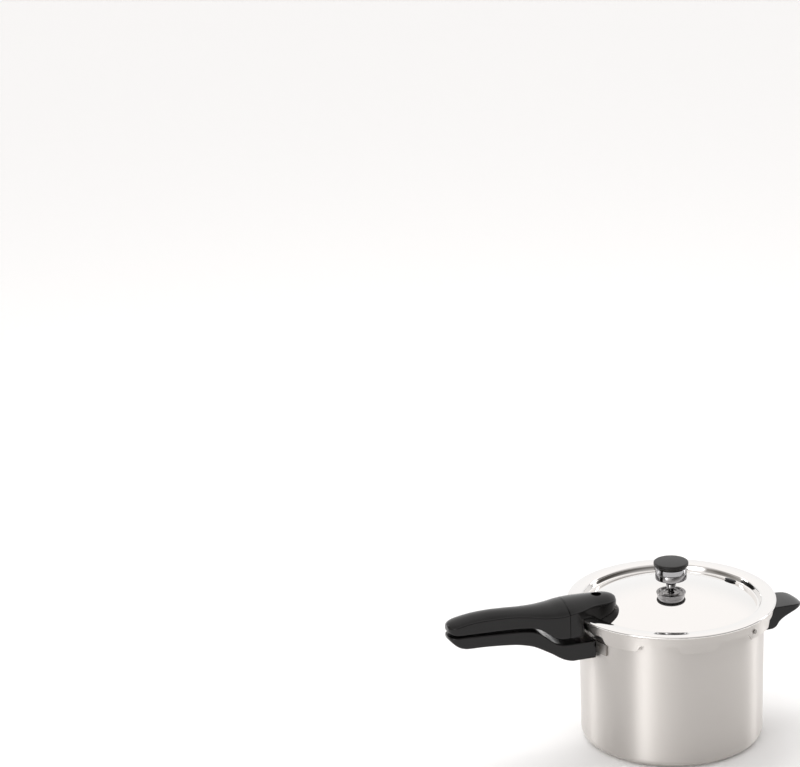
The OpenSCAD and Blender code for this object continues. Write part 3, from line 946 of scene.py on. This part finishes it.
@dataclass
class HelperHandle:
    """The short handle opposite the long one, in millimetres."""

    start: float = 112.2
    tip: float = 165.0
    top: Curve = Curve(((110, 149.5), (146, 149.3), (156, 148.8), (161, 147.9), (165, 146.2)))
    floor: Curve = Curve(
        ((110, 121.5), (124, 121.7), (129.5, 124.0), (133, 129.2), (138, 133.5), (151, 140.0))
        + ((159, 143.2), (165, 144.6))
    )
    half: float = 23.0
    corner: float = 15.0

    def build(self) -> None:
        """Builds and dresses the handle."""
        rows = []
        reach = self.start
        mid = self.tip - self.corner
        while reach < mid:
            rows.append(self.section(reach, self.half - 0.02 * (reach - self.start)))
            reach += 1.6
        inner = rows[-1].half - self.corner
        for angle in (6, 16, 26, 36, 46, 55, 63, 70, 76, 81, 85, 88):
            a = math.radians(angle)
            rows.append(self.section(mid + self.corner * math.sin(a), inner + self.corner * math.cos(a)))
        piece = Piece("helper_handle_resin", Body.POT, "black_phenolic", ("helper_handle",), 38)
        piece.make(loft(rows, 0.9, 1.2, 1), (PHENOLIC,))

    def section(self, reach: float, half: float) -> Section:
        """The section at a distance from the axis, with a half width."""
        top = self.top.at(reach)
        bend = 1 - smooth(reach, self.start, 135)
        return Section(reach, half, self.floor.at, top - 0.5, top, bend)


@dataclass
class Hardware:
    """The metal and rubber parts whose shape is already right: they only get their finish."""

    finishes: tuple[tuple[str, Finish], ...] = (
        ("body_handle_bracket", PLATED),
        ("helper_handle_bracket", PLATED),
        ("bracket_rivets", PLATED),
        ("lock_bracket", PLATED),
        ("body_handle_screw", PLATED),
        ("body_handle_washer", PLATED),
        ("helper_handle_screw", PLATED),
        ("helper_handle_washer", PLATED),
        ("stop_rivet", PLATED),
        ("vent_pipe", CHROME),
        ("vent_pipe_nut", PLATED),
        ("cover_handle_bracket", PLATED),
        ("cover_handle_screws", PLATED),
        ("grip_screw", PLATED),
        ("lock_pin_gasket", RUBBER),
        ("lock_pin", PLATED),
        ("lock_pin_retainer", PLATED),
        ("regulator_seat", BRASS),
    )

    def build(self) -> None:
        """Gives each part its finish."""
        for name, finish in self.finishes:
            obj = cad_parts[name]
            obj.data.materials.clear()
            obj.data.materials.append(finish.material())
            LOG.info("%s: %s", name, finish.name)


@dataclass
class Studio:
    """The pale floor, the light around the cooker and the camera."""

    azimuth: float = -17.271
    elevation: float = 17.704
    distance: float = 3.2
    roll: float = -2.013
    lens: float = 123.9
    aim_out: float = -0.31426
    aim_up: float = 0.45314
    strength: float = 1.0
    # (turn from the camera's side in degrees, light, warmth) of the wall of light around the cooker
    bands: tuple[tuple[float, float, float], ...] = (
        (-180, 1.05, 0.0),
        (-134, 1.0, 0.0),
        (-124, 0.4, 0.0),
        (-120, 0.5, 0.0),
        (-117.5, 7.0, 0.0),
        (-114.5, 7.0, 0.0),
        (-111, 0.4, 0.05),
        (-70, 0.15, 0.1),
        (-54, 0.25, 0.08),
        (-40, 5.5, 0.0),
        (-24, 1.8, 0.02),
        (-8, 0.8, 0.03),
        (8, 0.2, 0.05),
        (18, 0.08, 0.1),
        (98, 0.08, 0.1),
        (108, 0.3, 0.05),
        (111.5, 7.0, 0.0),
        (114.5, 7.0, 0.0),
        (118, 0.5, 0.0),
        (128, 0.95, 0.0),
        (140, 1.0, 0.0),
        (180, 1.05, 0.0),
    )

    # Light of the sky in front of the cooker and behind it.
    sky_front: tuple[float, float, float, float] = (0.7, 0.68, 0.67, 1)
    sky_rear: tuple[float, float, float, float] = (1.14, 1.12, 1.11, 1)
    # (name, place, aim, size, power, seen in gloss) of the soft lights
    cards: tuple[tuple[str, Point3, Point3, Point, float, bool], ...] = (
        ("overhead_softbox", (-0.3, 0.5, 1.9), (-0.05, 0.0, 0.15), (1.4, 1.0), 12.0, False),
    )

    def floor(self) -> None:
        """Lays a plain white table."""
        bm = bmesh.new()
        bmesh.ops.create_grid(bm, x_segments=1, y_segments=1, size=6.0)
        mesh = bpy.data.meshes.new("table")
        bm.to_mesh(mesh)
        bm.free()
        # Matt white studio paper.
        mesh.materials.append(Finish("white_paper", "#ffffff", 0.0, 0.9).material())
        obj = bpy.data.objects.new("table", mesh)
        bpy.context.scene.collection.objects.link(obj)

    def light(self) -> None:
        """Surrounds the cooker with upright bands of light, under a sky darker in front."""
        world = bpy.data.worlds.new("studio")
        bpy.context.scene.world = world
        world.use_nodes = True
        tree = world.node_tree
        tree.nodes.clear()
        ray = add_node(tree, "ShaderNodeTexCoord").outputs["Generated"]
        turned = add_node(
            tree,
            "ShaderNodeVectorRotate",
            {"rotation_type": "Z_AXIS"},
            {"Vector": ray, "Angle": math.radians(-self.azimuth)},
        )
        parts = add_node(tree, "ShaderNodeSeparateXYZ", None, {0: turned.outputs[0]}).outputs
        back = add_node(tree, "ShaderNodeMath", {"operation": "MULTIPLY"}, {0: parts["Y"], 1: -1.0})
        angle = add_node(
            tree, "ShaderNodeMath", {"operation": "ARCTAN2"}, {0: parts["X"], 1: back.outputs[0]}
        )
        share = add_node(
            tree,
            "ShaderNodeMath",
            {"operation": "MULTIPLY_ADD"},
            {0: angle.outputs[0], 1: 1 / (2 * math.pi), 2: 0.5},
        )
        ramp = add_node(tree, "ShaderNodeValToRGB", None, {"Fac": share.outputs[0]})
        ramp.color_ramp.interpolation = "EASE"
        stops = ramp.color_ramp.elements
        while len(stops) < len(self.bands):
            stops.new(0.5)
        for stop, (turn, glow, warm) in zip(stops, self.bands):
            stop.position = turn / 360 + 0.5
            stop.color = (glow, glow * (1 - warm * 0.7), glow * (1 - warm * 1.5), 1)
        high = add_node(
            tree,
            "ShaderNodeMapRange",
            {"interpolation_type": "SMOOTHSTEP"},
            {"Value": parts["Z"], "From Min": 0.2, "From Max": 0.6},
        )
        behind = add_node(
            tree,
            "ShaderNodeMapRange",
            {"interpolation_type": "SMOOTHSTEP"},
            {"Value": parts["Y"], "From Min": -0.3, "From Max": 0.25},
        )
        roof = add_node(
            tree,
            "ShaderNodeMix",
            {"data_type": "RGBA"},
            {0: behind.outputs[0], 6: self.sky_front, 7: self.sky_rear},
        )
        sky = add_node(
            tree,
            "ShaderNodeMix",
            {"data_type": "RGBA"},
            {0: high.outputs[0], 6: ramp.outputs["Color"], 7: roof.outputs[2]},
        )
        seen = add_node(tree, "ShaderNodeLightPath").outputs["Is Camera Ray"]
        plain = add_node(
            tree, "ShaderNodeMix", {"data_type": "RGBA"}, {0: seen, 6: sky.outputs[2], 7: (1, 1, 1, 1)}
        )
        glow = add_node(
            tree,
            "ShaderNodeBackground",
            None,
            {"Color": plain.outputs[2], "Strength": self.strength},
        )
        add_node(tree, "ShaderNodeOutputWorld", None, {"Surface": glow.outputs[0]})
        for card in self.cards:
            self.lamp(*card)

    @staticmethod
    def lamp(name: str, place: Point3, aim: Point3, size: Point, power: float, mirrored: bool) -> None:
        """Adds a soft rectangular light.

        Args:
            name: Its name.
            place: Where it stands, in metres.
            aim: What it faces, in metres.
            size: Width and height, in metres.
            power: Its power, in watts.
            mirrored: Whether gloss and mirrors show it.
        """
        lamp = bpy.data.lights.new(name, "AREA")
        lamp.shape, lamp.energy = "RECTANGLE", power
        lamp.size, lamp.size_y = size
        obj = bpy.data.objects.new(name, lamp)
        obj.location = place
        obj.rotation_euler = (Vector(aim) - Vector(place)).to_track_quat("-Z", "Y").to_euler()
        obj.visible_camera = False
        obj.visible_glossy = mirrored
        bpy.context.scene.collection.objects.link(obj)

    def camera(self) -> None:
        """Sets the camera up at its measured place."""
        az, el, roll = (math.radians(a) for a in (self.azimuth, self.elevation, self.roll))
        forward = Vector((-math.sin(az) * math.cos(el), math.cos(az) * math.cos(el), -math.sin(el)))
        right = Vector((math.cos(az), math.sin(az), 0))
        up = right.cross(forward)
        aim = Vector((self.aim_out * math.cos(az), self.aim_out * math.sin(az), self.aim_up))
        side = right * math.cos(roll) + up * math.sin(roll)
        top = up * math.cos(roll) - right * math.sin(roll)
        turn = Matrix((side, top, -forward)).transposed().to_4x4()
        lens = bpy.data.cameras.new("camera")
        lens.lens, lens.sensor_width, lens.clip_end = self.lens, 36.0, 50.0
        obj = bpy.data.objects.new("camera", lens)
        obj.matrix_world = Matrix.Translation(aim - forward * self.distance) @ turn
        bpy.context.scene.collection.objects.link(obj)
        bpy.context.scene.camera = obj

    def build(self) -> None:
        """Sets the stage."""
        self.floor()
        self.light()
        self.camera()
        bpy.context.scene.view_settings.view_transform = "Standard"


def main() -> None:
    """Builds the cooker piece by piece, then the studio around it."""
    logging.basicConfig(level=logging.INFO)
    lid = Lid()
    Pot().build()
    lid.build()
    Seals().build()
    Regulator().build()
    LongHandle().build(lid)
    HelperHandle().build()
    Hardware().build()
    Studio().build()
    bpy.context.view_layer.update()


if __name__ == "__main__":
    main()
